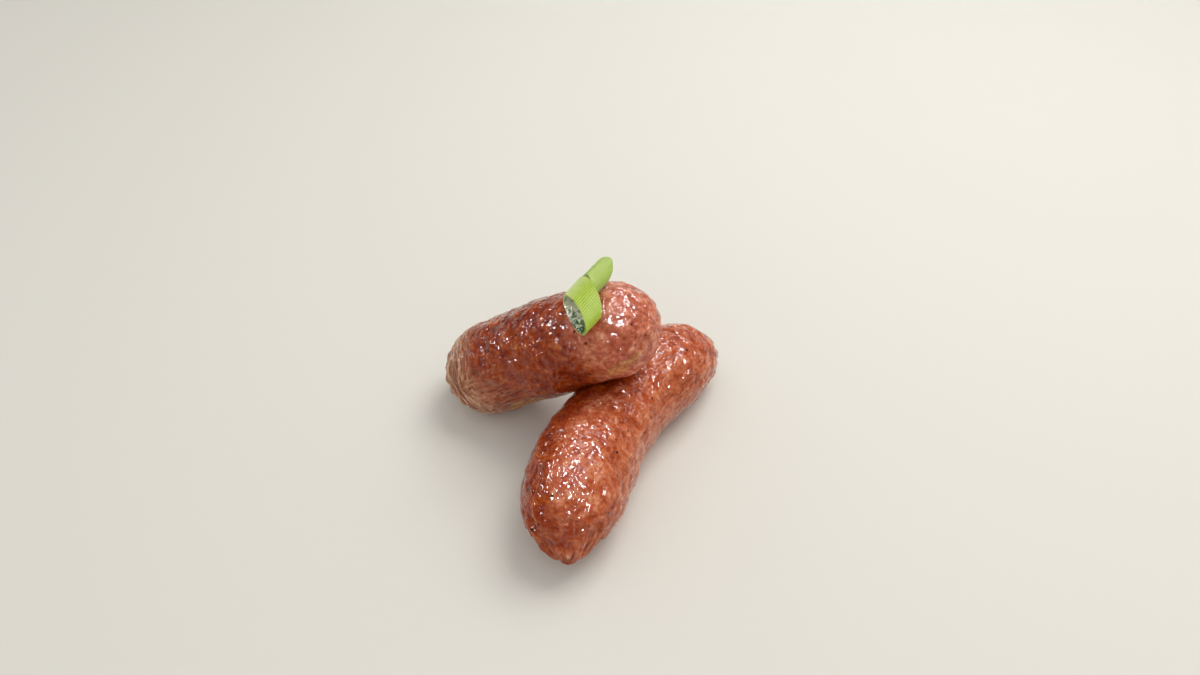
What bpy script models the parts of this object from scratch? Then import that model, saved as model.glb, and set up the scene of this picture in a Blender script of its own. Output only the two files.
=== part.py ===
"""Two grilled sausage links as they were served, one leaning across the other, with two cut
pieces of spring onion on the upper one. Metres, +Z up, standing on z = 0, with the origin
under the middle of the pair."""

import math

import bmesh
import bpy
from mathutils import Vector, noise
from mathutils.bvhtree import BVHTree

MM = 0.001

# How each link lies, in millimetres and degrees. A link is a bent tube: its centreline is an arc
# through "middle", from its start tip to its end tip, that turns to the right as it goes.
# "girths" are its radii at shares of its length, and the caps are how long its ends round off.
# The ends droop to the table and hook a little more to the right over their last stretch.
LOWER = {
    "middle": (12.5, 8.4),
    "heading": 56.0,
    "tilt": 0.0,
    "bend_radius": 105.0,
    "to_start": 54.9,
    "to_end": 47.5,
    "girths": ((0.00, 16.8), (0.30, 17.4), (0.46, 16.0), (0.60, 15.2), (0.77, 15.7), (1.00, 13.0)),
    "cap_start": 19.0,
    "cap_end": 17.0,
    "droop_start": 8.0,
    "droop_end": 6.0,
    "hook_start": 1.6,
    "hook_end": 1.0,
    "nub_start": 1.5,
    "nub_end": 1.6,
    "pleats_start": 0.45,
    "pleats_end": 0.4,
    "folds": 0.0,
    "seed": 3.0,
}
UPPER = {
    "middle": (-10.7, 24.1, 32.1),
    "heading": -13.0,
    "tilt": 35.5,
    "bend_radius": 280.0,
    "to_start": 44.2,
    "to_end": 43.0,
    "girths": ((0.00, 15.9), (0.34, 16.9), (0.52, 17.4), (0.68, 16.1), (0.82, 15.7), (1.00, 15.2)),
    "cap_start": 16.0,
    "cap_end": 15.5,
    "droop_start": 1.0,
    "droop_end": 0.4,
    "hook_start": 0.0,
    "hook_end": 0.0,
    "nub_start": 1.6,
    "nub_end": 0.8,
    "pleats_start": 0.35,
    "pleats_end": 0.15,
    "folds": 0.42,
    "seed": 11.0,
}

SIDES = 48
RINGS = 52
END_RINGS_CLOSER = 0.62

FLAT_DEPTH = 0.9
DROOP_REACH = 20.0

# The twisted nub at each tip widens towards the body, by this much per millimetre.
NUB_RADIUS = 1.2
NUB_FLARE = 0.85
NUB_FLARE_REACH = 4.0
NUB_BLEND = 3.0

LUMP_SIZE = 11.0
LUMP_HEIGHT = 0.55
PLEATS = 12
PLEAT_START_RADIUS = 6.0
PLEAT_REACH = 11.0
FOLD_SPACING = 3.4
FOLD_REACH = 20.0

# What touches keeps this gap, and the skin is calm for a little way around the touch.
GAP = 0.4
CALM_REACH = 4.0

# The spring onion: oval tubes of leaf with both ends cut on the slant. "on" is the share of the
# upper link's length, "round" the angle from the link's top towards its right side, "turn" the
# tube's heading from the link's own, "rise" its climb, "roll" its turn about its own axis and
# "lift" the height of its middle over the skin. The cuts slant sideways and lean up and down.
ONION_FRONT = {
    "on": 0.855,
    "round": 26.5,
    "turn": 55.0,
    "rise": -16.0,
    "roll": -8.0,
    "lift": 4.2,
    "length": 7.2,
    "half_width": 7.8,
    "half_height": 4.2,
    "slant_start": -14.0,
    "slant_end": -15.0,
    "lean_start": 31.0,
    "lean_end": 40.0,
}
ONION_BACK = {
    "on": 0.863,
    "round": -4.8,
    "turn": 83.0,
    "rise": -5.0,
    "roll": 9.0,
    "lift": 3.7,
    "length": 8.1,
    "half_width": 4.3,
    "half_height": 3.6,
    "slant_start": -20.0,
    "slant_end": 30.0,
    "lean_start": 37.0,
    "lean_end": 49.0,
}
LEAF = 0.9
ONION_SIDES = 32
ONION_RINGS = 7


def smooth(share):
    """Eases from 0 to 1 as share goes from 0 to 1."""
    share = min(max(share, 0.0), 1.0)
    return share * share * (3.0 - 2.0 * share)


def link_length(link):
    return link["to_start"] + link["to_end"]


def full_radius(link, s):
    """The radius of the link's body s mm from its start tip, eased from girth to girth."""
    share = s / link_length(link)
    radius = link["girths"][0][1]
    for (t0, r0), (t1, r1) in zip(link["girths"], link["girths"][1:]):
        radius += (r1 - r0) * smooth((share - t0) / (t1 - t0))
    return radius


def end_rounding(distance, cap):
    """A quarter ellipse: 0 at the tip and 1 from cap mm inwards."""
    left_over = 1.0 - min(max(distance / cap, 0.0), 1.0)
    return math.sqrt(1.0 - left_over * left_over)


def skin_radius(link, s):
    """The radius of the skin, which rounds off at both ends down to a twisted nub."""
    length = link_length(link)
    rounding = end_rounding(s, link["cap_start"]) * end_rounding(length - s, link["cap_end"])
    body = full_radius(link, s) * rounding
    to_nub = min(s + link["nub_start"], length + link["nub_end"] - s)
    flare = NUB_FLARE * min(max(to_nub, 0.0), NUB_FLARE_REACH)
    nub = (NUB_RADIUS + flare) * end_rounding(to_nub, NUB_RADIUS)
    return (body**NUB_BLEND + nub**NUB_BLEND) ** (1.0 / NUB_BLEND)


def centre(link, s):
    """The centreline's point s mm from the start tip. Its nubs lie before 0 and past the length."""
    turn = (s - link["to_start"]) / link["bend_radius"]
    near_start = max(1.0 - s / DROOP_REACH, 0.0) ** 2
    near_end = max(1.0 - (link_length(link) - s) / DROOP_REACH, 0.0) ** 2
    forward = link["bend_radius"] * math.sin(turn)
    aside = link["bend_radius"] * (1.0 - math.cos(turn))
    aside += link["hook_start"] * near_start + link["hook_end"] * near_end
    heading = math.radians(link["heading"])
    tilt = math.radians(link["tilt"])
    x = forward * math.cos(tilt) * math.cos(heading) + aside * math.sin(heading)
    y = forward * math.cos(tilt) * math.sin(heading) - aside * math.cos(heading)
    if link["tilt"]:
        z = link["middle"][2] + forward * math.sin(tilt)
    else:
        z = full_radius(link, s) - FLAT_DEPTH
    z -= link["droop_start"] * near_start + link["droop_end"] * near_end
    return Vector((link["middle"][0] + x, link["middle"][1] + y, z))


def section_axes(link, s):
    """Unit vectors along the link, to its left and to its upper side, at s."""
    ahead = (centre(link, s + 0.5) - centre(link, s - 0.5)).normalized()
    left = Vector((0.0, 0.0, 1.0)).cross(ahead).normalized()
    return ahead, left, ahead.cross(left)


def relief(link, s, angle, point):
    """How far the skin stands out from the plain tube: the lumps of coarse meat, the pleats that
    gather to the nubs, and the ring folds round the upper link's low end."""
    to_end = link_length(link) - s
    where = point / LUMP_SIZE + Vector((link["seed"], 0.0, 0.0))
    lumps = (noise.noise(where) + 0.5 * noise.noise(where * 2.1)) * LUMP_HEIGHT
    pleats = link["pleats_start"] * smooth(1.0 - s / PLEAT_REACH)
    pleats += link["pleats_end"] * smooth(1.0 - to_end / PLEAT_REACH)
    pleats *= math.cos(PLEATS * angle) * smooth(skin_radius(link, s) / PLEAT_START_RADIUS)
    folding = smooth(1.0 - s / FOLD_REACH) * smooth(s / 3.0)
    folds = math.cos(2.0 * math.pi * s / FOLD_SPACING) * link["folds"] * folding
    return lumps + pleats + folds


def station(link, share):
    """The distance from the start tip of the ring at this share of the rings, closer to each
    other at the ends. The first and the last are the nubs' tips."""
    eased = share - END_RINGS_CLOSER * math.sin(2.0 * math.pi * share) / (2.0 * math.pi)
    return -link["nub_start"] + eased * (link["nub_start"] + link_length(link) + link["nub_end"])


def press(point, under):
    """Keeps a point clear of the skin under it. Returns the point and how near it was."""
    spot, normal, _, away = under.find_nearest(point)
    near = away if (point - spot).dot(normal) > 0.0 else -away
    if near < GAP:
        point = spot + normal * GAP
    return point, near


def link_mesh(link, under=None):
    """Starts as a sphere whose poles are the link's tips, and moves each ring to its station.
    The link is flat where it meets the table and pressed in where it lies on "under"."""
    mesh = bmesh.new()
    bmesh.ops.create_uvsphere(mesh, u_segments=SIDES, v_segments=RINGS, radius=1.0)
    for vert in mesh.verts:
        share = 1.0 - math.acos(min(max(vert.co.z, -1.0), 1.0)) / math.pi
        angle = math.atan2(vert.co.y, vert.co.x)
        s = station(link, share)
        _, left, up = section_axes(link, s)
        outwards = up * math.cos(angle) - left * math.sin(angle)
        if abs(vert.co.z) > 0.99999:
            point = centre(link, s)
        else:
            point = centre(link, s) + outwards * skin_radius(link, s)
            height = relief(link, s, angle, point)
            if under:
                _, near = press(point, under)
                height *= smooth((near - GAP) / CALM_REACH)
            point += outwards * height
        if under:
            point, _ = press(point, under)
        point.z = max(point.z, 0.0)
        vert.co = point * MM
    bmesh.ops.recalc_face_normals(mesh, faces=mesh.faces)
    return mesh


def skin_tree(mesh):
    """A search tree of a finished skin, in millimetres."""
    copy = mesh.copy()
    bmesh.ops.scale(copy, vec=(1.0 / MM, 1.0 / MM, 1.0 / MM), verts=copy.verts)
    tree = BVHTree.FromBMesh(copy)
    copy.free()
    return tree


def onion_mesh(onion, under):
    """An open oval tube, which its Solidify modifier gives the leaf's thickness."""
    s = onion["on"] * link_length(UPPER)
    ahead, left, up = section_axes(UPPER, s)
    angle = math.radians(onion["round"])
    outwards = up * math.cos(angle) - left * math.sin(angle)
    across = left * math.cos(angle) + up * math.sin(angle)
    turn = math.radians(onion["turn"])
    rise = math.radians(onion["rise"])
    axis = ahead * math.cos(turn) + across * math.sin(turn)
    axis = axis * math.cos(rise) + outwards * math.sin(rise)
    side = axis.cross(outwards).normalized()
    top = side.cross(axis)
    roll = math.radians(onion["roll"])
    side, top = side * math.cos(roll) + top * math.sin(roll), top * math.cos(roll) - side * math.sin(roll)
    middle = centre(UPPER, s) + outwards * (skin_radius(UPPER, s) + onion["lift"])
    mesh = bmesh.new()
    bmesh.ops.create_grid(mesh, x_segments=ONION_SIDES, y_segments=ONION_RINGS - 1, size=0.5)
    for vert in mesh.verts:
        share = vert.co.y + 0.5
        around = 2.0 * math.pi * vert.co.x
        wide = onion["half_width"] * math.cos(around)
        high = onion["half_height"] * math.sin(around)
        slant = onion["slant_start"] * (1.0 - share) + onion["slant_end"] * share
        lean = onion["lean_start"] * (1.0 - share) + onion["lean_end"] * share
        along = vert.co.y * onion["length"]
        along += wide * math.tan(math.radians(slant)) + high * math.tan(math.radians(lean))
        point, _ = press(middle + axis * along + side * wide + top * high, under)
        vert.co = point * MM
    bmesh.ops.remove_doubles(mesh, verts=mesh.verts, dist=0.01 * MM)
    bmesh.ops.recalc_face_normals(mesh, faces=mesh.faces)
    return mesh


def finish(name, colour, roughness):
    """A material whose colour is given as linear values."""
    material = bpy.data.materials.new(name)
    material.use_nodes = True
    shader = material.node_tree.nodes["Principled BSDF"]
    shader.inputs["Base Color"].default_value = (*colour, 1.0)
    shader.inputs["Roughness"].default_value = roughness
    shader.inputs["Metallic"].default_value = 0.0
    return material


def add_object(name, mesh, material):
    data = bpy.data.meshes.new(name)
    mesh.to_mesh(data)
    mesh.free()
    data.materials.append(material)
    data.shade_smooth()
    made = bpy.data.objects.new(name, data)
    bpy.context.scene.collection.objects.link(made)
    return made


def build():
    for old in list(bpy.data.objects):
        bpy.data.objects.remove(old, do_unlink=True)
    casing = finish("grilled_casing", (0.33, 0.10, 0.045), 0.35)
    leaf = finish("onion_leaf", (0.42, 0.56, 0.12), 0.4)
    lower = link_mesh(LOWER)
    upper = link_mesh(UPPER, under=skin_tree(lower))
    upper_skin = skin_tree(upper)
    add_object("lower_link", lower, casing)
    add_object("upper_link", upper, casing)
    for name, onion in (("onion_front", ONION_FRONT), ("onion_back", ONION_BACK)):
        tube = add_object(name, onion_mesh(onion, upper_skin), leaf)
        wall = tube.modifiers.new("wall", "SOLIDIFY")
        wall.thickness = LEAF * MM
        wall.offset = -1.0


build()
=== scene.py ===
# %% [markdown]
# # Two grilled sausage links with spring onion
#
# The solids of the links are already right in size and place, but they are plain. This lesson
# dresses them: each link gets a dense skin with the lumps of coarse meat, the wrinkles of the
# casing and a wet, mottled finish, and the two cut onion pieces get their ribs, walls and film.
# First the frame is loaded. Its nodes stay where they are, and each new piece takes the place
# of one of them.

# %% Load the frame
import math

import bpy
import numpy as np
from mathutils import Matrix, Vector, noise
from mathutils.bvhtree import BVHTree


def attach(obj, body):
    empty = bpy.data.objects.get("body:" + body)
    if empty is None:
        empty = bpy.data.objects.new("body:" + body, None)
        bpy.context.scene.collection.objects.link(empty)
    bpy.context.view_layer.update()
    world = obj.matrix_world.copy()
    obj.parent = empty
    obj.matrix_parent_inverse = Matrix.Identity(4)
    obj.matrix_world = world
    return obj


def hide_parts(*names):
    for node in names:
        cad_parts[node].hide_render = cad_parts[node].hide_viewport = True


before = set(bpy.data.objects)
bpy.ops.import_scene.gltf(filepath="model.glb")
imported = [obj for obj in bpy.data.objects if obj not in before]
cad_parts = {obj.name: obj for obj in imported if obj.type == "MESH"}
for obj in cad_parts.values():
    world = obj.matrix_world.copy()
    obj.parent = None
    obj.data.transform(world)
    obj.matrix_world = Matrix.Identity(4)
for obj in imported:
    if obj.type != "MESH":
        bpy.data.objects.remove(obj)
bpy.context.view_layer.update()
bpy.ops.object.select_all(action="DESELECT")
MM = 0.001

# %% [markdown]
# A few small helpers come first. Colours are written as the hex values that a colour picker
# shows, which are sRGB, so one function turns them linear for the shader. One function adds a
# node, sets its values and links its inputs, which keeps each material readable from top to
# bottom.

# %% Helpers for colours and nodes
def linear(code):
    """The linear colour of an sRGB hex value such as "#C27550"."""
    shares = [int(code[i:i + 2], 16) / 255 for i in (1, 3, 5)]
    curved = [v / 12.92 if v <= 0.04045 else ((v + 0.055) / 1.055) ** 2.4 for v in shares]
    return (*curved, 1.0)


def add_node(tree, kind, settings=None, inputs=(), stops=()):
    """Adds a node. An input takes a number, a hex colour, a socket, or a node's first output."""
    node = tree.nodes.new(kind)
    for key, value in (settings or {}).items():
        setattr(node, key, value)
    named = inputs if isinstance(inputs, dict) else dict(enumerate(inputs))
    for key, value in named.items():
        if isinstance(value, bpy.types.Node):
            value = next(output for output in value.outputs if output.enabled)
        if isinstance(value, bpy.types.NodeSocket):
            tree.links.new(value, node.inputs[key])
        else:
            node.inputs[key].default_value = linear(value) if isinstance(value, str) else value
    for place, code in stops:
        node.color_ramp.elements.new(place).color = linear(code)
    if stops:
        node.color_ramp.elements.remove(node.color_ramp.elements[0])
        node.color_ramp.elements.remove(node.color_ramp.elements[-1])
    return node


def new_material(name):
    """A material with its shader and tree, ready for nodes."""
    material = bpy.data.materials.new(name)
    material.use_nodes = True
    return material, material.node_tree, material.node_tree.nodes["Principled BSDF"]


print("mid grey, #808080, is", round(linear("#808080")[0], 3), "when linear")

# %% [markdown]
# The camera looks down on the links at 48 degrees with a wide lens, from about a forearm's
# length away. It is set now, because the pieces are judged through it while they are made. The
# floor is a plain, matt, pale table.

# %% Camera and floor
CAMERA_PLACE = (6.0 * MM, -164.4 * MM, 246.0 * MM)
LOOK_DOWN_DEGREES = 48.0
LENS_MM = 24.6
FILM_WIDTH_MM = 36.0
NEAREST_SEEN = 0.01
FLOOR_SIZE = 4.0

turned = (math.radians(90.0 - LOOK_DOWN_DEGREES), 0.0, 0.0)
bpy.ops.object.camera_add(location=CAMERA_PLACE, rotation=turned)
camera = bpy.context.object
camera.name = "camera"
camera.data.lens = LENS_MM
camera.data.sensor_width = FILM_WIDTH_MM
camera.data.clip_start = NEAREST_SEEN
bpy.context.scene.camera = camera

bpy.ops.mesh.primitive_plane_add(size=FLOOR_SIZE)
floor = bpy.context.object
floor.name = "floor"
floor_material, _, shader = new_material("pale matt table")
shader.inputs["Base Color"].default_value = linear("#E2E0D9")
shader.inputs["Roughness"].default_value = 0.9
shader.inputs["Specular IOR Level"].default_value = 0.1
floor.data.materials.append(floor_material)
print("the camera stands", round(CAMERA_PLACE[2] / MM), "mm above the table")

# %% [markdown]
# The light is that of a bright room: soft from all round, with a window behind the links on the
# right. Wet skin shows many small glints, and a glint is the picture of a lamp in a tiny bump. So
# five small lamps light nothing but the gloss. Each is bright, and wide enough that its picture
# in a bump covers a few pixels. The room is dimmer in the gloss, or it would lie over the skin
# like a haze and make the colours pale.

# %% Light
PAIR_MIDDLE = Vector((0.0, 0.0, 0.025))
ROOM_COLOUR = "#F4F2EE"
ROOM_STRENGTH = 0.64
ROOM_IN_THE_GLOSS = 0.08
SOFT_LIGHTS = (
    ("window", (0.32, 0.30, 0.72), 0.45, 3.6, "#FFFDF9"),
    ("front_fill", (-0.3, -0.6, 0.7), 0.8, 0.6, "#FFFFFF"),
)
GLINT_LAMPS = (
    ("lamp_over", (0.02, -0.05, 0.85), 0.17, 12.0, "#FFFFFF"),
    ("lamp_near", (0.16, -0.26, 0.75), 0.16, 11.0, "#FFFFFF"),
    ("lamp_left", (-0.62, 0.12, 0.46), 0.12, 4.2, "#FFFFFF"),
    ("lamp_behind", (-0.08, 0.35, 0.78), 0.15, 6.0, "#FFFFFF"),
    ("lamp_far", (0.15, 0.68, 0.55), 0.15, 5.0, "#FFFFFF"),
)


def studio_light(name, place, size, power, colour):
    """A square light that faces the pair."""
    bpy.ops.object.light_add(type="AREA", location=place)
    light = bpy.context.object
    light.name = name
    light.rotation_euler = (PAIR_MIDDLE - Vector(place)).to_track_quat("-Z", "Y").to_euler()
    light.data.size = size
    light.data.energy = power
    light.data.color = linear(colour)[:3]
    return light


for sizes in SOFT_LIGHTS:
    studio_light(*sizes)
for sizes in GLINT_LAMPS:
    studio_light(*sizes).visible_diffuse = False

world = bpy.data.worlds.new("studio")
bpy.context.scene.world = world
world.use_nodes = True
room = world.node_tree.nodes["Background"]
room.inputs["Color"].default_value = linear(ROOM_COLOUR)
glossy = add_node(world.node_tree, "ShaderNodeLightPath").outputs["Is Glossy Ray"]
strengths = [glossy, 0.0, 1.0, ROOM_STRENGTH, ROOM_IN_THE_GLOSS]
dimmer = add_node(world.node_tree, "ShaderNodeMapRange", None, strengths)
world.node_tree.links.new(dimmer.outputs["Result"], room.inputs["Strength"])
bpy.context.scene.view_settings.view_transform = "Standard"
print("lights:", [sizes[0] for sizes in SOFT_LIGHTS + GLINT_LAMPS])

# %% [markdown]
# A sausage link is a soft tube of casing, filled until it is plump, with both ends twisted off.
# So its shape is a bent centreline and a girth along it, and these are the same named sizes that
# the solids are built from. "middle" is where the arc passes, "girths" are radii at shares of
# the length, and the ends round off over their "cap".

# %% The sizes of the links
LOWER = {
    "middle": (12.5, 8.4),
    "heading": 56.0,
    "tilt": 0.0,
    "bend_radius": 105.0,
    "to_start": 54.9,
    "to_end": 47.5,
    "girths": ((0.00, 16.8), (0.30, 17.4), (0.46, 16.0), (0.60, 15.2), (0.77, 15.7), (1.00, 13.0)),
    "cap_start": 19.0,
    "cap_end": 17.0,
    "droop_start": 8.0,
    "droop_end": 6.0,
    "hook_start": 1.6,
    "hook_end": 1.0,
    "nub_start": 1.5,
    "nub_end": 1.6,
    "pleats_start": 0.45,
    "pleats_end": 0.4,
    "folds": 0.0,
    "ring_reach": 0.0,
    "lines_end": 95.0,
    "line_height": 0.12,
    "ledge": 8.0,
    "gather": 1.2,
    "seed": 3.0,
}
UPPER = {
    "middle": (-10.7, 24.1, 32.1),
    "heading": -13.0,
    "tilt": 35.5,
    "bend_radius": 280.0,
    "to_start": 44.2,
    "to_end": 43.0,
    "girths": ((0.00, 15.9), (0.34, 16.9), (0.52, 17.4), (0.68, 16.1), (0.82, 15.7), (1.00, 15.2)),
    "cap_start": 16.0,
    "cap_end": 15.5,
    "droop_start": 1.0,
    "droop_end": 0.4,
    "hook_start": 0.0,
    "hook_end": 0.0,
    "nub_start": 1.6,
    "nub_end": 0.8,
    "pleats_start": 0.35,
    "pleats_end": 0.15,
    "folds": 0.42,
    "ring_reach": 26.0,
    "lines_end": 52.0,
    "line_height": 0.32,
    "ledge": 0.0,
    "gather": 0.3,
    "seed": 11.0,
}
FLAT_DEPTH = 0.9
DROOP_REACH = 20.0
NUB_RADIUS = 1.2
NUB_FLARE = 0.85
NUB_FLARE_REACH = 4.0
NUB_BLEND = 3.0
LUMP_SIZE = 11.0
LUMP_HEIGHT = 0.55
PLEATS = 12
PLEAT_START_RADIUS = 6.0
PLEAT_REACH = 11.0
FOLD_SPACING = 3.4
FOLD_REACH = 20.0


def smooth(share):
    """Eases from 0 to 1 as share goes from 0 to 1. Takes numbers or arrays."""
    share = np.clip(share, 0.0, 1.0)
    return share * share * (3.0 - 2.0 * share)


def link_length(link):
    return link["to_start"] + link["to_end"]


def full_radius(link, s):
    """The link's radius at s, before its ends round off."""
    share = s / link_length(link)
    radius = link["girths"][0][1]
    for (t0, r0), (t1, r1) in zip(link["girths"], link["girths"][1:]):
        radius = radius + (r1 - r0) * smooth((share - t0) / (t1 - t0))
    return radius


def end_rounding(distance, cap):
    """A quarter ellipse: 0 at the tip and 1 from cap mm inwards."""
    left_over = 1.0 - np.clip(distance / cap, 0.0, 1.0)
    return np.sqrt(1.0 - left_over * left_over)


def skin_radius(link, s):
    """The radius of the skin at s, with the round ends and their nubs."""
    length = link_length(link)
    rounding = end_rounding(s, link["cap_start"]) * end_rounding(length - s, link["cap_end"])
    body = full_radius(link, s) * rounding
    to_nub = np.minimum(s + link["nub_start"], length + link["nub_end"] - s)
    flare = NUB_FLARE * np.clip(to_nub, 0.0, NUB_FLARE_REACH)
    nub = (NUB_RADIUS + flare) * end_rounding(to_nub, NUB_RADIUS)
    return (body**NUB_BLEND + nub**NUB_BLEND) ** (1.0 / NUB_BLEND)


def centre(link, s):
    """The points of the centreline at the distances s from the start tip, one row each."""
    turn = (s - link["to_start"]) / link["bend_radius"]
    near_start = np.clip(1.0 - s / DROOP_REACH, 0.0, None) ** 2
    near_end = np.clip(1.0 - (link_length(link) - s) / DROOP_REACH, 0.0, None) ** 2
    forward = link["bend_radius"] * np.sin(turn)
    aside = link["bend_radius"] * (1.0 - np.cos(turn))
    aside = aside + link["hook_start"] * near_start + link["hook_end"] * near_end
    heading = math.radians(link["heading"])
    tilt = math.radians(link["tilt"])
    x = link["middle"][0] + forward * math.cos(tilt) * math.cos(heading) + aside * math.sin(heading)
    y = link["middle"][1] + forward * math.cos(tilt) * math.sin(heading) - aside * math.cos(heading)
    if link["tilt"]:
        z = link["middle"][2] + forward * math.sin(tilt)
    else:
        z = full_radius(link, s) - FLAT_DEPTH
    z = z - link["droop_start"] * near_start - link["droop_end"] * near_end
    return np.stack([x, y, z], axis=-1)


def unit(rows):
    return rows / np.linalg.norm(rows, axis=-1, keepdims=True)


def section_axes(link, s):
    """Unit vectors along the link, to its left and to its upper side, at each s."""
    ahead = unit(centre(link, s + 0.5) - centre(link, s - 0.5))
    left = unit(np.cross((0.0, 0.0, 1.0), ahead))
    return ahead, left, np.cross(ahead, left)


print("link lengths", round(link_length(LOWER), 1), "and", round(link_length(UPPER), 1), "mm")

# %% [markdown]
# The skin starts as a UV sphere, because a link is one closed ball of casing with two poles. Each
# ring of the sphere goes to its station along the centreline and takes the girth there, so the
# poles become the twisted tips. The rings are dense, a third of a millimetre apart, so that the
# wrinkles are real geometry and catch the light by themselves.

# %% Lay a sphere's rings along a link
SEGMENTS = 300
RINGS = 320
END_RINGS_CLOSER = 0.45


def read_points(mesh):
    flat = np.empty(len(mesh.vertices) * 3)
    mesh.vertices.foreach_get("co", flat)
    return flat.reshape(-1, 3)


def write_points(mesh, points):
    mesh.vertices.foreach_set("co", points.ravel())
    mesh.update()


def read_normals(mesh):
    flat = np.empty(len(mesh.vertices) * 3)
    mesh.vertex_normals.foreach_get("vector", flat)
    return flat.reshape(-1, 3)


def plain_skin(name, link):
    """A smooth skin in metres, with each point's distance along and angle round from the top."""
    bpy.ops.mesh.primitive_uv_sphere_add(segments=SEGMENTS, ring_count=RINGS, radius=1.0)
    skin = bpy.context.object
    skin.name = name
    skin.data.materials.append(None)
    ball = read_points(skin.data)
    share = 1.0 - np.arccos(np.clip(ball[:, 2], -1.0, 1.0)) / math.pi
    around = np.arctan2(ball[:, 1], ball[:, 0])
    eased = share - END_RINGS_CLOSER * np.sin(2.0 * math.pi * share) / (2.0 * math.pi)
    whole = link["nub_start"] + link_length(link) + link["nub_end"]
    s = eased * whole - link["nub_start"]
    _, left, up = section_axes(link, s)
    outwards = up * np.cos(around)[:, None] - left * np.sin(around)[:, None]
    is_pole = np.abs(ball[:, 2]) > 0.999999
    radius = np.where(is_pole, 0.0, skin_radius(link, s))
    write_points(skin.data, (centre(link, s) + outwards * radius[:, None]) * MM)
    bpy.ops.object.mode_set(mode="EDIT")
    bpy.ops.mesh.select_all(action="SELECT")
    bpy.ops.mesh.normals_make_consistent(inside=False)
    bpy.ops.object.mode_set(mode="OBJECT")
    return skin, s, around


print("each skin has", SEGMENTS * (RINGS - 1) + 2, "points")

# %% [markdown]
# The relief comes from what is under and in the casing. Coarse-ground meat pushes it out in lumps
# of a few millimetres. Where the link cooled, the thin casing crept into fine wrinkles: rings
# round the upper link's low end, lengthwise lines along its lower side, and pleats that gather to
# each twisted tip. Each is a short function of the place on the skin, in millimetres.

# %% The lumps and the broad folds
MEAT_SIZE = 4.0
MEAT_HEIGHT = 0.38
GROUND_SIZE = 1.9
GROUND_HEIGHT = 0.18
FOLD_DRIFT = 1.6
FOLD_DRIFT_SIZE = 9.0


def noise_rows(points, size, offset=0.0):
    """Noise from -1 to 1 whose waves are about size mm. The offset only picks another part of it."""
    rows = points / size + offset
    return np.array([noise.noise(Vector(row)) for row in rows])


def meat_lumps(link, points):
    """The same broad lumps as the solids have, and the smaller ones of the ground meat."""
    where = points / LUMP_SIZE + np.array([link["seed"], 0.0, 0.0])
    broad = np.array([noise.noise(Vector(p)) + 0.5 * noise.noise(Vector(p * 2.1)) for p in where])
    middle = noise_rows(points, MEAT_SIZE, link["seed"])
    small = noise_rows(points, GROUND_SIZE, link["seed"] + 5.0)
    height = broad * LUMP_HEIGHT + middle * MEAT_HEIGHT + small * GROUND_HEIGHT
    # The second value, from the middle and small lumps, paints their crests paler and hollows darker:
    # painted sheen and shade.
    return height, middle * 0.5 + small * 0.5


def broad_folds(link, s, around, points):
    """The pleats that gather to both tips, as the solids have, and uneven ring folds."""
    to_end = link_length(link) - s
    pleats = link["pleats_start"] * smooth(1.0 - s / PLEAT_REACH)
    pleats = pleats + link["pleats_end"] * smooth(1.0 - to_end / PLEAT_REACH)
    pleats = pleats * np.cos(PLEATS * around) * smooth(skin_radius(link, s) / PLEAT_START_RADIUS)
    folding = smooth(1.0 - s / FOLD_REACH) * smooth(s / 3.0)
    drift = noise_rows(points, FOLD_DRIFT_SIZE, 50.0) * FOLD_DRIFT
    sharp = 1.0 - 2.0 * np.abs(np.sin(math.pi * (s + drift) / FOLD_SPACING)) ** 0.8
    return pleats + sharp * link["folds"] * folding


print("lumps of", MEAT_SIZE, "and", GROUND_SIZE, "mm")

# %% [markdown]
# The fine lines are noise that is stretched one way and then sharpened to thin crests. They are
# kept as a mask too, from 0 in the hollows to 1 on the crests, because the finish paints the
# crests paler, as painted highlight, and the hollows darker, as painted shade. Round the link the
# noise is read on a small circle, so that the lines close without a seam.

# %% The fine lines round and along the link
RING_CIRCLE = 1.4
RING_STRETCH = 0.9
RING_WAVE = 0.8
RING_DRIFT = 2.4
RING_DRIFT_SIZE = 14.0
LINE_STRETCH = 0.16
LINE_WAVE = 1.15
LINE_DRIFT = 1.1
LINE_DRIFT_SIZE = 11.0
LINES_START = 9.0


def crests(value):
    """Turns smooth noise into thin crests, 1, with wide hollows, 0."""
    return 1.0 - np.clip(2.6 * np.abs(value), 0.0, 1.0) ** 0.6


def ring_lines(link, s, around, points, reach):
    """Fine wrinkles round the link, up to reach mm from the start tip."""
    drift = noise_rows(points, RING_DRIFT_SIZE, 31.0) * RING_DRIFT + noise_rows(points, 4.0, 3.0) * 0.3
    east = np.cos(around) * RING_CIRCLE
    north = np.sin(around) * RING_CIRCLE
    rows = np.stack([east, north, (s + drift) * RING_STRETCH], axis=-1)
    return crests(noise_rows(rows, RING_WAVE, 7.0)) * smooth((reach - s) / 8.0) * smooth(s / 2.0)


def long_lines(link, s, around, points, side_degrees):
    """Fine wavy lines along the link, on one side of it."""
    facing = smooth((np.cos(around - math.radians(side_degrees)) - 0.25) / 0.55)
    body = smooth((s - LINES_START) / 9.0) * smooth((link["lines_end"] - s) / 20.0)
    drift = noise_rows(points, LINE_DRIFT_SIZE, 17.0) * LINE_DRIFT
    radius = full_radius(link, s)
    east = np.cos(around) * radius
    north = np.sin(around) * radius + drift
    rows = np.stack([s * LINE_STRETCH, east, north], axis=-1)
    return crests(noise_rows(rows, LINE_WAVE, link["seed"])) * facing * body


print("lines along the link start", LINES_START, "mm from its tip")

# %% [markdown]
# At a tip the casing was twisted off. There it is gathered in fine lines that run to the nub, and
# at the near tip of the lower link a small lip of it stands over the last part.

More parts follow.
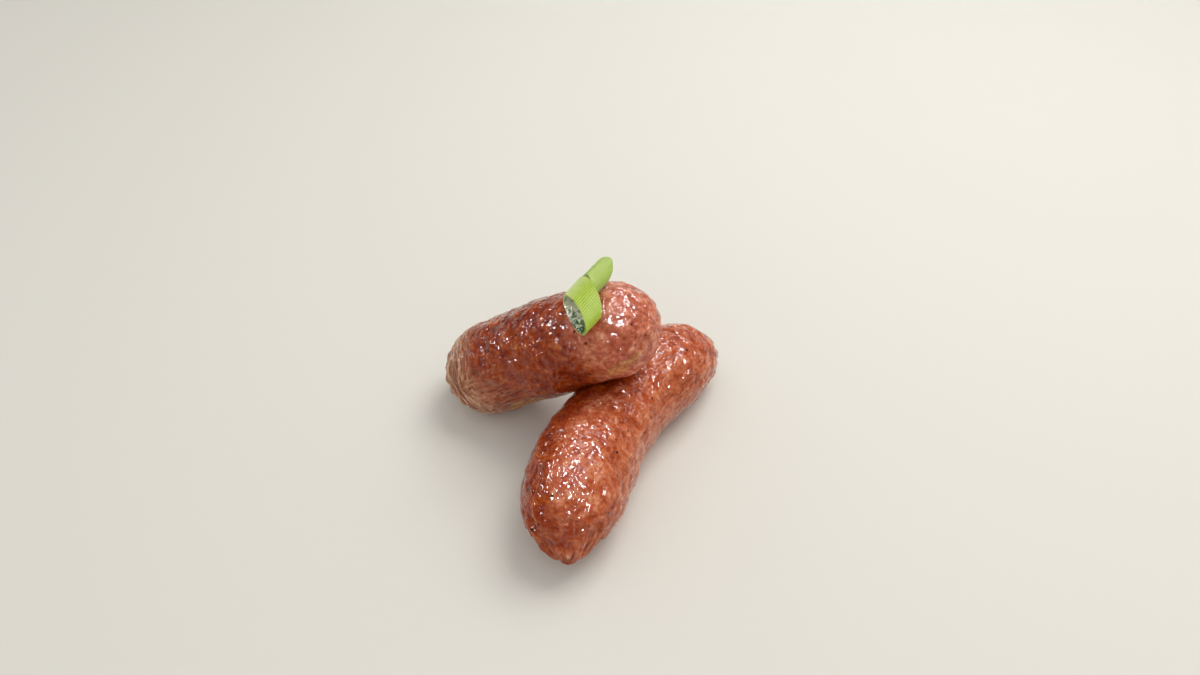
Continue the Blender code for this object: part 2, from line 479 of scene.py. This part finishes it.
# %% The gathered tips
TIP_CIRCLE = 3.1
TIP_STRETCH = 0.06
TIP_WAVE = 0.5
TIP_LINE_HEIGHT = 0.45
TIP_REACH = 13.0
FAR_TIP_REACH = 9.0
FAR_TIP_SHARE = 0.6
LEDGE_DROP = 0.9
LEDGE_WIDTH = 0.9
LEDGE_DRIFT = 3.0
LEDGE_DRIFT_SIZE = 5.0


def tip_lines(link, s, around):
    """Lines that gather to both tips."""
    near_tip = smooth(1.0 - s / TIP_REACH)
    near_tip = near_tip + FAR_TIP_SHARE * smooth(1.0 - (link_length(link) - s) / FAR_TIP_REACH)
    east = np.cos(around) * TIP_CIRCLE
    north = np.sin(around) * TIP_CIRCLE
    lines = crests(noise_rows(np.stack([east, north, s * TIP_STRETCH], axis=-1), TIP_WAVE, link["seed"]))
    return link["gather"] * lines * near_tip * smooth(skin_radius(link, s) / 3.0)


def tip_line_height(tips, s):
    """The lines' height, taken about their middle, so that the tip grows no thicker."""
    return (tips - 0.5 * tips.max() * smooth(1.0 - s / TIP_REACH)) * TIP_LINE_HEIGHT


def tip_ledge(link, s, around, points):
    """The step down from the lip to the last part."""
    drift = noise_rows(points, LEDGE_DRIFT_SIZE, 40.0) * LEDGE_DRIFT
    edge = link["ledge"] + drift + 1.5 * np.cos(2.0 * around)
    return -LEDGE_DROP * smooth((edge - s) / LEDGE_WIDTH) * smooth(s / 3.0) * (link["ledge"] > 0.0)


print("tip lines reach", TIP_REACH, "mm")

# %% [markdown]
# Both links are made the same way. The lower one comes first, because the upper one is pressed
# against it: wherever its skin would come nearer than a hair to the lower link, it is pushed
# back, which makes the shallow dent of one soft thing on another. On the table both are flat.

# %% Make the two links
LINE_SIDE_DEGREES = 100.0
TOUCH_GAP = 0.12
CALM_REACH = 4.0


def press(points, under, gap):
    """Keeps the points clear of the skin under them. Returns them and how near each one is."""
    near = np.full(len(points), CALM_REACH * 2.0)
    for i, point in enumerate(points):
        spot, normal, _, away = under.find_nearest(Vector(point), CALM_REACH * 2.0)
        if spot is None:
            continue
        near[i] = away if (Vector(point) - spot).dot(normal) > 0.0 else -away
        if near[i] < gap:
            points[i] = spot + normal * gap
    return points, near


def skin_tree(skin):
    """A search tree of a skin, in millimetres."""
    points = [Vector(p) for p in read_points(skin.data) / MM]
    faces = [tuple(face.vertices) for face in skin.data.polygons]
    return BVHTree.FromPolygons(points, faces)


def store(piece, name, values):
    """Keeps a value for each point of the piece, for the finish to read."""
    attribute = piece.data.attributes.new(name, "FLOAT", "POINT")
    attribute.data.foreach_set("value", np.asarray(values, dtype=np.float32))


def dress_link(name, link, under=None):
    """Makes a link's skin with its relief, and stores the masks of its lines and lumps."""
    skin, s, around = plain_skin(name, link)
    points = read_points(skin.data) / MM
    normals = read_normals(skin.data)
    height, lumps = meat_lumps(link, points)
    tips = tip_lines(link, s, around)
    lines = np.maximum(ring_lines(link, s, around, points, link["ring_reach"]), tips)
    lines = np.maximum(lines, long_lines(link, s, around, points, LINE_SIDE_DEGREES))
    height = height + broad_folds(link, s, around, points) + lines * link["line_height"]
    height = height + tip_line_height(tips, s) + tip_ledge(link, s, around, points)
    if under:
        _, near = press(points.copy(), under, TOUCH_GAP)
        height = height * smooth(near / CALM_REACH)
    points = points + normals * height[:, None]
    if under:
        points, _ = press(points, under, TOUCH_GAP)
    points[:, 2] = np.maximum(points[:, 2], 0.0)
    write_points(skin.data, points * MM)
    bpy.ops.object.shade_smooth()
    # The lines mask also paints the wrinkle crests paler and hollows darker: painted highlight and shade.
    store(skin, "lines", lines)
    # The lumps mask paints sheen on the raised meat and shade in its hollows.
    store(skin, "lumps", lumps)
    print(name, "has", len(skin.data.polygons), "faces")
    return skin, s, around


lower, lower_s, lower_around = dress_link("lower_skin", LOWER)
upper, upper_s, upper_around = dress_link("upper_skin", UPPER, skin_tree(lower))
upper_tree = skin_tree(upper)

# %% [markdown]
# A finish that follows the link needs to know where on the link it is. So each skin carries a few
# more soft masks on its points: where the casing is bare and tan, where the grill browned it and
# where painted shade darkens it, and where fat shows. They are broad, and the shader breaks up
# their edges with fine noise. Places are in millimetres from the start tip, and in degrees round
# from the top.

# %% Masks on the skins
def spot(s, around, at, round_degrees, length, width_degrees):
    """A soft oval patch on the skin."""
    away = (around - math.radians(round_degrees) + math.pi) % (2.0 * math.pi) - math.pi
    reach = ((s - at) / length) ** 2 + (away / math.radians(width_degrees)) ** 2
    return smooth(1.4 - reach)


def side_mask(around, round_degrees, start, reach):
    """A soft mask of one side of the link."""
    return smooth((np.cos(around - math.radians(round_degrees)) - start) / reach)


# The left flank: grill browning, and painted shade on that side of the link.
lower_brown_and_shade = side_mask(lower_around, -80.0, 0.25, 0.6) * smooth((64.0 - lower_s) / 20.0)
# Painted shade: a darker patch where the upper link crosses over this one.
lower_brown_and_shade = np.maximum(lower_brown_and_shade, spot(lower_s, lower_around, 60.0, -35.0, 14.0, 50.0))
# Painted shade in the hollows between the gathered lines at the near tip.
lower_hollow_shade = 1.0 - tip_lines(LOWER, lower_s, lower_around)
lower_brown_and_shade = np.maximum(lower_brown_and_shade, 0.65 * lower_hollow_shade * smooth((TIP_REACH - lower_s) / 5.0))
store(lower, "brown_and_shade", lower_brown_and_shade)
store(lower, "tan", 0.2 * side_mask(lower_around, 105.0, 0.2, 0.8))
store(lower, "fat", 0.5 * smooth((2.5 - lower_s) / 3.0))

upper_ring_end = smooth((23.0 - upper_s) / 10.0)
upper_under = side_mask(upper_around, 112.0, 0.45, 0.4) * smooth((upper_s - 10.0) / 10.0)
upper_tan = np.maximum(upper_ring_end, 0.25 * upper_under * smooth((36.0 - upper_s) / 12.0))
upper_fat = spot(upper_s, upper_around, 29.0, 122.0, 11.0, 16.0)
upper_fat = np.maximum(upper_fat, 0.7 * spot(upper_s, upper_around, 77.0, 113.0, 9.0, 13.0))
store(upper, "brown_and_shade", 1.0 - 0.85 * smooth((upper_s - 58.0) / 14.0))
store(upper, "tan", upper_tan)
store(upper, "fat", upper_fat)
print("masks on the upper skin:", [attribute.name for attribute in upper.data.attributes])

# %% [markdown]
# The finish is cooked natural casing over coarse pork: a thin wet skin, clear enough to show the
# meat. The meat is brick red and salmon pink in grains of a few millimetres, with paler flecks of
# fat between them. The grill turns it orange-brown. So one noise mottles the meat, and two colour
# ramps read it, one for the red meat and one for the browned, which on the lower link also paints
# shade. The raised lumps are painted a little paler and their hollows darker, as painted sheen and
# shade. Grains finer than a millimetre would not show, so the finest is drawn at 1.1 mm.

# %% The meat under the casing
TIMES = {"operation": "MULTIPLY"}
TIMES_PLUS = {"operation": "MULTIPLY_ADD"}
EASED = {"interpolation_type": "SMOOTHSTEP"}
COLOURS = {"data_type": "RGBA"}
PATCH_MM = 9.0
STREAK_MM = 2.8
GRAIN_MM = 1.1
FLECK_MM = 1.5
FLECK_COLOUR = "#DDA88C"


def grain_size(size_mm, detail, distortion, where):
    """The inputs of a noise whose grains are about size_mm across."""
    scale = 1.0 / (size_mm * MM)
    return {"Vector": where, "Scale": scale, "Detail": detail, "Distortion": distortion}


def meat_colour(tree, where, lumps, brown_and_shade, reds, crusts_and_shade):
    """Mottled meat, red or browned, with painted shade among the browns. Returns its colour and the
    noises that the rest follows.
    """
    patches = add_node(tree, "ShaderNodeTexNoise", None, grain_size(PATCH_MM, 4.0, 0.3, where))
    streaks = add_node(tree, "ShaderNodeTexNoise", None, grain_size(STREAK_MM, 5.0, 0.8, where))
    grains = add_node(tree, "ShaderNodeTexNoise", None, grain_size(GRAIN_MM, 3.0, 0.6, where))
    mottle = add_node(tree, "ShaderNodeMath", TIMES, [patches, 0.24])
    mottle = add_node(tree, "ShaderNodeMath", TIMES_PLUS, [streaks, 0.50, mottle])
    mottle = add_node(tree, "ShaderNodeMath", TIMES_PLUS, [grains, 0.26, mottle])
    # Painted sheen and shade: raised lumps paler, their hollows darker.
    mottle = add_node(tree, "ShaderNodeMath", TIMES_PLUS, [lumps, 0.10, mottle])
    red = add_node(tree, "ShaderNodeValToRGB", None, [mottle], reds)
    dark = add_node(tree, "ShaderNodeValToRGB", None, [mottle], crusts_and_shade)
    fleck = add_node(tree, "ShaderNodeTexNoise", None, grain_size(FLECK_MM, 2.0, 0.9, where))
    fleck = add_node(tree, "ShaderNodeMapRange", EASED, [fleck, 0.58, 0.72, 0.0, 0.4])
    red = add_node(tree, "ShaderNodeMix", COLOURS, {0: fleck, 6: red, 7: FLECK_COLOUR})
    # On the lower link the brown mask holds painted shade as well as browning.
    browned_and_shaded = add_node(tree, "ShaderNodeMath", TIMES_PLUS, [patches, 1.6, brown_and_shade])
    browned_and_shaded = add_node(tree, "ShaderNodeMapRange", EASED, [browned_and_shaded, 1.0, 1.6])
    colour = add_node(tree, "ShaderNodeMix", COLOURS, {0: browned_and_shaded, 6: red, 7: dark})
    return colour, mottle, streaks, grains


print("the finest grain is", GRAIN_MM, "mm across")

# %% [markdown]
# Where the casing dried it shows by itself, tan, with its crests painted paler as painted highlight
# and its hollows darker as painted shade. In a few places cooked fat shows through it, golden, with
# soft edges that follow the streaks of the meat.

# %% Bare casing and cooked fat
BARE_CASING_SHADE_TO_HIGHLIGHT = ((0.28, "#7C3E1E"), (0.50, "#985E3C"), (0.76, "#B88864"), (0.98, "#DEBC9E"))
CREST_HIGHLIGHT_COLOUR = "#C9835C"
COOKED_FAT = ((0.38, "#9A5A1C"), (0.50, "#B87C36"), (0.62, "#DCAC66"))


def bare_casing(tree, colour, grains, lines, tan):
    """Lays tan casing over the meat, with painted highlight on its crests and painted shade in its
    hollows.
    """
    # The ramp runs from painted shade in the hollows to painted highlight on the crests.
    crest_light_and_shade = add_node(tree, "ShaderNodeMath", TIMES_PLUS, [grains, 0.5, lines])
    bare = add_node(tree, "ShaderNodeValToRGB", None, [crest_light_and_shade], BARE_CASING_SHADE_TO_HIGHLIGHT)
    tan_share = add_node(tree, "ShaderNodeMath", TIMES, [tan, 0.8])
    colour = add_node(tree, "ShaderNodeMix", COLOURS, {0: tan_share, 6: colour, 7: bare})
    # Painted highlight: the crests of the fine lines are made paler still.
    crest_highlight_share = add_node(tree, "ShaderNodeMath", TIMES, [lines, 0.24])
    return add_node(tree, "ShaderNodeMix", COLOURS, {0: crest_highlight_share, 6: colour, 7: CREST_HIGHLIGHT_COLOUR})


def cooked_fat(tree, colour, mottle, streaks, fat):
    """Lets golden fat show where the mask says."""
    fatty = add_node(tree, "ShaderNodeMath", TIMES_PLUS, [streaks, 0.9, fat])
    fatty = add_node(tree, "ShaderNodeMapRange", EASED, [fatty, 0.85, 1.35, 0.0, 0.75])
    golden = add_node(tree, "ShaderNodeValToRGB", None, [mottle], COOKED_FAT)
    return add_node(tree, "ShaderNodeMix", COLOURS, {0: fatty, 6: colour, 7: golden})


print("bare casing goes through", [code for _, code in BARE_CASING_SHADE_TO_HIGHLIGHT])

# %% [markdown]
# Cracked black pepper shows as specks under a millimetre across, a few to each link. Each cell of
# a Voronoi pattern has one point in it, so a small ball round the point makes a speck, and a
# share of the cells, picked by their random colour, keeps theirs.

# %% Pepper specks
PEPPER_CELL_MM = 5.0
SPECK_CORE = 0.07
SPECK_EDGE = 0.13
PEPPER_COLOUR = "#150F08"


def pepper_specks(tree, where, colour, share):
    """Dark specks in a share of the cells."""
    cells = {"Vector": where, "Scale": 1.0 / (PEPPER_CELL_MM * MM)}
    cells = add_node(tree, "ShaderNodeTexVoronoi", None, cells)
    speck = add_node(tree, "ShaderNodeMapRange", EASED, [cells, SPECK_CORE, SPECK_EDGE, 0.95, 0.0])
    chosen = add_node(tree, "ShaderNodeSeparateColor", None, [cells.outputs["Color"]])
    chosen = add_node(tree, "ShaderNodeMath", {"operation": "LESS_THAN"}, [chosen, share])
    speck = add_node(tree, "ShaderNodeMath", TIMES, [speck, chosen])
    return add_node(tree, "ShaderNodeMix", COLOURS, {0: speck, 6: colour, 7: PEPPER_COLOUR})


print("a speck is", round(2.0 * SPECK_CORE * PEPPER_CELL_MM, 2), "mm across at full black")

# %% [markdown]
# The wet film is what glints. It is a clear coat with bumps of its own, 2.5 mm across, while the
# meat under it has hardly any gloss. The coat bends light a little more than water does, since it
# is juice and fat. Light also goes a little way into the meat and comes out red.

# %% The grilled casing
FILM_MM = 2.5
FILM_HEIGHT_MM = 1.2
LIGHT_REACH_MM = 1.4


def wet_film(tree, shader, where):
    """A clear coat whose own bumps make the glints."""
    wet = add_node(tree, "ShaderNodeTexNoise", None, grain_size(FILM_MM, 0.6, 0.8, where))
    bump = {"Height": wet, "Distance": FILM_HEIGHT_MM * MM, "Strength": 1.0}
    bump = add_node(tree, "ShaderNodeBump", None, bump)
    tree.links.new(bump.outputs["Normal"], shader.inputs["Coat Normal"])
    shader.inputs["Coat Weight"].default_value = 1.0
    shader.inputs["Coat Roughness"].default_value = 0.05
    shader.inputs["Coat IOR"].default_value = 1.36


def casing_material(name, reds, crusts_and_shade, pepper_share, seed):
    """Natural casing, cooked: a smooth wet film over meat that lets light in a little."""
    material, tree, shader = new_material(name)
    lumps, lines, brown_and_shade, tan, fat = [
        add_node(tree, "ShaderNodeAttribute", {"attribute_name": mask}).outputs["Fac"]
        for mask in ("lumps", "lines", "brown_and_shade", "tan", "fat")
    ]
    place = add_node(tree, "ShaderNodeTexCoord").outputs["Object"]
    where = add_node(tree, "ShaderNodeMapping", None, {"Vector": place, "Location": (seed, 0.0, 0.0)})
    colour, mottle, streaks, grains = meat_colour(tree, where, lumps, brown_and_shade, reds, crusts_and_shade)
    colour = bare_casing(tree, colour, grains, lines, tan)
    colour = cooked_fat(tree, colour, mottle, streaks, fat)
    colour = pepper_specks(tree, where, colour, pepper_share)
    tree.links.new(colour.outputs[2], shader.inputs["Base Color"])
    wet_film(tree, shader, where)
    shader.inputs["Roughness"].default_value = 0.5
    shader.inputs["Specular IOR Level"].default_value = 0.05
    shader.inputs["Subsurface Weight"].default_value = 0.12
    shader.inputs["Subsurface Radius"].default_value = (1.0, 0.35, 0.2)
    shader.inputs["Subsurface Scale"].default_value = LIGHT_REACH_MM * MM
    print(name, "has", len(tree.nodes), "nodes")
    return material


# %% [markdown]
# The lower link is the pinker one. On its left it is browned, and darker still as painted shade on
# that side, and it is painted darker near where the upper link crosses it, as painted shade. The
# upper link lay longer on the grill and is darker, apart from its far end. Each ramp goes from the
# dark meat to the pale.

# %% Dress the links
PINK_MEAT = (
    (0.33, "#862B10"), (0.44, "#A84722"), (0.50, "#B85731"), (0.56, "#C86D45"), (0.67, "#E49E78"),
)
ORANGE_CRUST_AND_SHADE = (
    (0.33, "#681600"), (0.43, "#842400"), (0.50, "#963200"), (0.57, "#A84206"), (0.68, "#C86A20"),
)
RED_MEAT = (
    (0.33, "#903824"), (0.44, "#B0543A"), (0.50, "#C06448"), (0.56, "#D27C5E"), (0.67, "#F0B090"),
)
DARK_CRUST = (
    (0.33, "#5C1400"), (0.43, "#7E2402"), (0.50, "#903206"), (0.57, "#A4440E"), (0.69, "#D88040"),
)
# On the lower link the orange crust ramp also paints shade on its left flank and near the crossing.
lower_casing = casing_material("lower casing, natural, grilled", PINK_MEAT, ORANGE_CRUST_AND_SHADE, 0.80, 0.0)
upper_casing = casing_material("upper casing, natural, grilled", RED_MEAT, DARK_CRUST, 0.70, 0.31)


def take_place(piece, finishes, node):
    """Gives a piece its finishes and lets it stand for a node of the frame."""
    for place, finish in enumerate(finishes):
        piece.data.materials[place] = finish
    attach(piece, "root")
    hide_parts(node)


take_place(lower, [lower_casing], "lower_link")
take_place(upper, [upper_casing], "upper_link")

# %% [markdown]
# Spring onion leaf is a ribbed tube that flattens when it is cut. Each piece starts as a flat
# grid, which is rolled up into an oval, slanted at both ends and laid on the link. Solidify then
# gives it the wall of the leaf, with the moist inside as a finish of its own.

# %% The sizes of the onion pieces
ONION_FRONT = {
    "on": 0.855,
    "round": 26.5,
    "turn": 55.0,
    "rise": -16.0,
    "roll": -8.0,
    "lift": 4.2,
    "length": 7.2,
    "half_width": 7.8,
    "half_height": 4.2,
    "slant_start": -14.0,
    "slant_end": -15.0,
    "lean_start": 31.0,
    "lean_end": 40.0,
}
ONION_BACK = {
    "on": 0.863,
    "round": -4.8,
    "turn": 83.0,
    "rise": -5.0,
    "roll": 9.0,
    "lift": 3.7,
    "length": 8.1,
    "half_width": 4.3,
    "half_height": 3.6,
    "slant_start": -20.0,
    "slant_end": 30.0,
    "lean_start": 37.0,
    "lean_end": 49.0,
}
LEAF = 0.8
RIB_SPACING = 0.7
RIB_HEIGHT = 0.04
CREASE_HEIGHT = 0.25
CUT_WAVE = 0.12
ONION_GAP = 0.35
AROUND_STEPS = 420
ALONG_STEPS = 26
SAME_POINT = 0.005
SHARP_DEGREES = 40.0


def onion_frame(onion):
    """The tube's middle and its unit vectors along, across and up, in millimetres."""
    s = np.array(onion["on"] * link_length(UPPER))
    ahead, left, up = section_axes(UPPER, s)
    angle = math.radians(onion["round"])
    outwards = up * math.cos(angle) - left * math.sin(angle)
    across = left * math.cos(angle) + up * math.sin(angle)
    turn = math.radians(onion["turn"])
    rise = math.radians(onion["rise"])
    axis = ahead * math.cos(turn) + across * math.sin(turn)
    axis = axis * math.cos(rise) + outwards * math.sin(rise)
    side = unit(np.cross(axis, outwards))
    top = np.cross(side, axis)
    roll = math.radians(onion["roll"])
    side, top = side * math.cos(roll) + top * math.sin(roll), top * math.cos(roll) - side * math.sin(roll)
    middle = centre(UPPER, s) + outwards * (skin_radius(UPPER, s) + onion["lift"])
    return middle, axis, side, top


print("the leaf's wall is", LEAF, "mm, with a rib every", RIB_SPACING, "mm")

# %% Roll, cut and lay an onion piece
def onion_piece(name, onion, seed):
    """A rolled leaf with fine ribs, cut at both ends."""
    middle, axis, side, top = onion_frame(onion)
    bpy.ops.mesh.primitive_grid_add(x_subdivisions=AROUND_STEPS, y_subdivisions=ALONG_STEPS, size=1.0)
    leaf = bpy.context.object
    leaf.name = name
    sheet = read_points(leaf.data)
    around = 2.0 * math.pi * sheet[:, 0]
    share = sheet[:, 1] + 0.5
    girth = math.pi * (onion["half_width"] + onion["half_height"])
    ribs = round(girth / RIB_SPACING)
    crease = np.stack([np.cos(around) * 1.6, np.sin(around) * 1.6, share * 0.9], axis=-1)
    swell = np.cos(ribs * around) * RIB_HEIGHT + noise_rows(crease, 1.0, seed) * CREASE_HEIGHT
    wide = (onion["half_width"] + swell) * np.cos(around)
    high = (onion["half_height"] + swell) * np.sin(around)
    slant = onion["slant_start"] * (1.0 - share) + onion["slant_end"] * share
    lean = onion["lean_start"] * (1.0 - share) + onion["lean_end"] * share
    along = sheet[:, 1] * onion["length"] + noise_rows(crease, 0.5, seed + 9.0) * CUT_WAVE
    along = along + wide * np.tan(np.radians(slant)) + high * np.tan(np.radians(lean))
    points = middle + along[:, None] * axis + wide[:, None] * side + high[:, None] * top
    points, _ = press(points, upper_tree, ONION_GAP)
    write_points(leaf.data, points * MM)
    store(leaf, "around", around)
    store(leaf, "ribs", 0.5 + 0.5 * np.cos(ribs * around))
    bpy.ops.object.mode_set(mode="EDIT")
    bpy.ops.mesh.select_all(action="SELECT")
    bpy.ops.mesh.remove_doubles(threshold=SAME_POINT * MM)
    bpy.ops.mesh.normals_make_consistent(inside=False)
    bpy.ops.object.mode_set(mode="OBJECT")
    for _ in ("outside", "inside", "rim"):
        leaf.data.materials.append(None)
    thick = leaf.modifiers.new("wall", "SOLIDIFY")
    thick.thickness = LEAF * MM
    thick.offset = -1.0
    thick.material_offset = 1
    thick.material_offset_rim = 2
    bpy.ops.object.modifier_apply(modifier="wall")
    bpy.ops.object.shade_smooth_by_angle(angle=math.radians(SHARP_DEGREES))
    print(name, "has", ribs, "ribs")
    return leaf


front = onion_piece("onion_front_leaf", ONION_FRONT, 2.0)
back = onion_piece("onion_back_leaf", ONION_BACK, 21.0)

# %% [markdown]
# Fresh leaf is waxy and a little clear. Its outside has fine ribs along it, darker between them,
# and is painted from grass green to a pale yellow-green on one side of the tube, as painted sheen.
# The cut rim is pale and wet, and the inside holds a white film over dark green that is darkened as
# painted shade in the hollow.

# %% The onion finishes
TONE_MM = 5.0
FINE_MM = 1.6
FILM_PATCH_MM = 2.0
LEAF_BUMP_MM = 0.3
FILM_BUMP_MM = 0.8


def leaf_material(name, dark, light, pale, sheen_from, sheen_to):
    """Fresh leaf, waxy: a soft gloss, with light that passes through the thin wall."""
    material, tree, shader = new_material(name)
    ribs, around = [
        add_node(tree, "ShaderNodeAttribute", {"attribute_name": mask}).outputs["Fac"]
        for mask in ("ribs", "around")
    ]
    where = add_node(tree, "ShaderNodeTexCoord").outputs["Object"]
    tone = add_node(tree, "ShaderNodeTexNoise", None, grain_size(TONE_MM, 3.0, 0.0, where))
    fine = add_node(tree, "ShaderNodeTexNoise", None, grain_size(FINE_MM, 2.0, 0.0, where))
    ridge = add_node(tree, "ShaderNodeMath", TIMES_PLUS, [fine, 1.1, ribs])
    ridge = add_node(tree, "ShaderNodeMapRange", EASED, [ridge, 0.55, 1.35])
    colour = add_node(tree, "ShaderNodeMix", COLOURS, {0: ridge, 6: dark, 7: light})
    # Painted sheen: one side of the tube is made pale, the other keeps the saturated green.
    sheen_and_shade_side = add_node(tree, "ShaderNodeMath", {"operation": "COSINE"}, [around])
    half_tone = add_node(tree, "ShaderNodeMath", TIMES, [tone, 0.5])
    sheen_fade = add_node(tree, "ShaderNodeMath", TIMES_PLUS, [sheen_and_shade_side, -1.0, half_tone])
    sheen_fade = add_node(tree, "ShaderNodeMapRange", EASED, [sheen_fade, sheen_from, sheen_to])
    colour = add_node(tree, "ShaderNodeMix", COLOURS, {0: sheen_fade, 6: colour, 7: pale})
    tree.links.new(colour.outputs[2], shader.inputs["Base Color"])
    bump = {"Height": tone, "Distance": LEAF_BUMP_MM * MM, "Strength": 0.5}
    bump = add_node(tree, "ShaderNodeBump", None, bump)
    tree.links.new(bump.outputs["Normal"], shader.inputs["Normal"])
    shader.inputs["Roughness"].default_value = 0.42
    shader.inputs["Specular IOR Level"].default_value = 0.1
    shader.inputs["Subsurface Weight"].default_value = 0.15
    shader.inputs["Subsurface Radius"].default_value = (0.8, 1.0, 0.4)
    shader.inputs["Subsurface Scale"].default_value = 1.0 * MM
    return material


def inside_material(name, shaded_deep_green, film):
    """The moist inside: leaf green darkened as painted shade in the hollow, with a whitish film on its
    higher side.
    """
    material, tree, shader = new_material(name)
    around = add_node(tree, "ShaderNodeAttribute", {"attribute_name": "around"}).outputs["Fac"]
    where = add_node(tree, "ShaderNodeTexCoord").outputs["Object"]
    patches = add_node(tree, "ShaderNodeTexNoise", None, grain_size(FILM_PATCH_MM, 3.0, 1.2, where))
    sheen_and_shade_side = add_node(tree, "ShaderNodeMath", {"operation": "COSINE"}, [around])
    contrast = add_node(tree, "ShaderNodeMath", TIMES, [patches, 2.2])
    # Painted shade: the inside is darker green on one side, and the film lies on the other.
    filmy = add_node(tree, "ShaderNodeMath", TIMES_PLUS, [sheen_and_shade_side, -0.35, contrast])
    filmy = add_node(tree, "ShaderNodeMapRange", EASED, [filmy, 0.95, 1.25])
    colour = add_node(tree, "ShaderNodeMix", COLOURS, {0: filmy, 6: shaded_deep_green, 7: film})
    tree.links.new(colour.outputs[2], shader.inputs["Base Color"])
    bump = add_node(tree, "ShaderNodeBump", None, {"Height": patches, "Distance": FILM_BUMP_MM * MM})
    tree.links.new(bump.outputs["Normal"], shader.inputs["Normal"])
    shader.inputs["Roughness"].default_value = 0.2
    return material


# The third colour of each leaf is its painted sheen.
green_leaf = leaf_material("green leaf, waxy", "#98B82C", "#BCD254", "#D0E092", 0.2, 1.1)
pale_leaf = leaf_material("pale leaf, waxy", "#9CB654", "#B0C868", "#BAD27C", 0.0, 1.0)
# The dark green stands for painted shade inside the hollow tube; the film is the leaf's own.
leaf_inside = inside_material("leaf inside, moist", "#2C5E0A", "#D6DAB8")
cut_rim = leaf_material("cut leaf rim, wet", "#B4CC6C", "#C9DC90", "#D2E2A4", 0.0, 1.0)
take_place(front, [green_leaf, leaf_inside, cut_rim], "onion_front")
take_place(back, [pale_leaf, leaf_inside, cut_rim], "onion_back")
print("onion finishes:", [finish.name for finish in back.data.materials])
